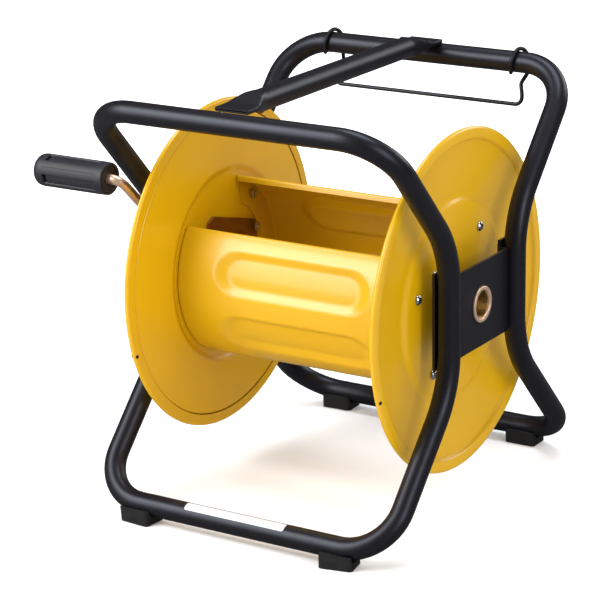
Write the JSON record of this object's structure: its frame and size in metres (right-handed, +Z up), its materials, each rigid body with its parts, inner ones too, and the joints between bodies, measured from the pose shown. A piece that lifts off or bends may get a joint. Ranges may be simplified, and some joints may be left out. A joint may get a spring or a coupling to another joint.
{
  "type": "hose reel",
  "caption": "Free-standing hose reel: bent tube frame with rubber feet, side plates and a carry handle, a flanged steel drum turned by a side crank, and a swinging wire hose guide.",
  "frame": {"origin": "bottom centre of the whole reel's bounding box, at the floor the feet stand on", "axes": "+X along the drum axle towards the hose inlet, +Y to the rear where the wire bail hangs, +Z up"},
  "size_m": [0.4626, 0.418, 0.4422],
  "materials": {
    "black_coat": "satin black powder coat",
    "yellow_paint": "gloss yellow paint",
    "rubber": "matt moulded rubber",
    "plastic": "lightly textured plastic",
    "zinc": "bright zinc plate",
    "yellow_zinc": "yellow chromate over zinc",
    "dark_zinc": "dark olive chromate over zinc"
  },
  "bodies": {
    "frame": {"front_loop": "black_coat", "rear_loop": "black_coat", "carry_handle": "black_coat", "side_plate_left": "black_coat", "side_plate_right": "black_coat", "foot_front_left": "rubber", "foot_front_right": "rubber", "foot_rear_left": "rubber", "foot_rear_right": "rubber", "foot_screw_front_left": "zinc", "foot_screw_front_right": "zinc", "foot_screw_rear_left": "zinc", "foot_screw_rear_right": "zinc", "bush_left": "plastic", "bush_right": "plastic"},
    "drum": {"flange_left": "yellow_paint", "flange_right": "yellow_paint", "core_shell_front": "yellow_paint", "core_shell_rear": "yellow_paint", "hub_plate_left": "dark_zinc", "hub_plate_right": "dark_zinc", "core_front_upper_screw_left": "zinc", "core_front_lower_screw_left": "zinc", "core_rear_upper_screw_left": "zinc", "core_rear_lower_screw_left": "zinc", "core_front_upper_screw_right": "zinc", "core_front_lower_screw_right": "zinc", "core_rear_upper_screw_right": "zinc", "core_rear_lower_screw_right": "zinc", "hub_a_screw_left": "zinc", "hub_b_screw_left": "zinc", "hub_a_screw_right": "zinc", "hub_b_screw_right": "zinc", "core_front_upper_nut_left": "zinc", "core_front_lower_nut_left": "zinc", "core_rear_upper_nut_left": "zinc", "core_rear_lower_nut_left": "zinc", "core_front_upper_nut_right": "zinc", "core_front_lower_nut_right": "zinc", "core_rear_upper_nut_right": "zinc", "core_rear_lower_nut_right": "zinc", "hub_a_nut_left": "zinc", "hub_b_nut_left": "zinc", "hub_a_nut_right": "zinc", "hub_b_nut_right": "zinc", "inlet_pipe": "yellow_zinc", "inlet_nut": "yellow_zinc", "crank_axle": "yellow_zinc", "crank_axle_nut": "yellow_zinc", "crank_collar": "zinc", "crank_arm": "yellow_zinc", "grip_end_cap": "zinc"},
    "grip": {"crank_grip": "plastic"},
    "bail": {"hose_guide_bail": "black_coat"}
  },
  "joints": [
    {"name": "drum_turn", "type": "hinge", "parent": "frame", "child": "drum", "pos_m": [0.05374, 0.00083, 0.216], "axis": [1, 0, 0], "continuous": true},
    {"name": "grip_turn", "type": "hinge", "parent": "drum", "child": "grip", "pos_m": [-0.18626, -0.11378, 0.32476], "axis": [1, 0, 0], "continuous": true},
    {"name": "bail_swing", "type": "hinge", "parent": "frame", "child": "bail", "pos_m": [0.05374, 0.18833, 0.4175], "axis": [1, 0, 0], "range_deg": [-75, 215]}
  ]
}
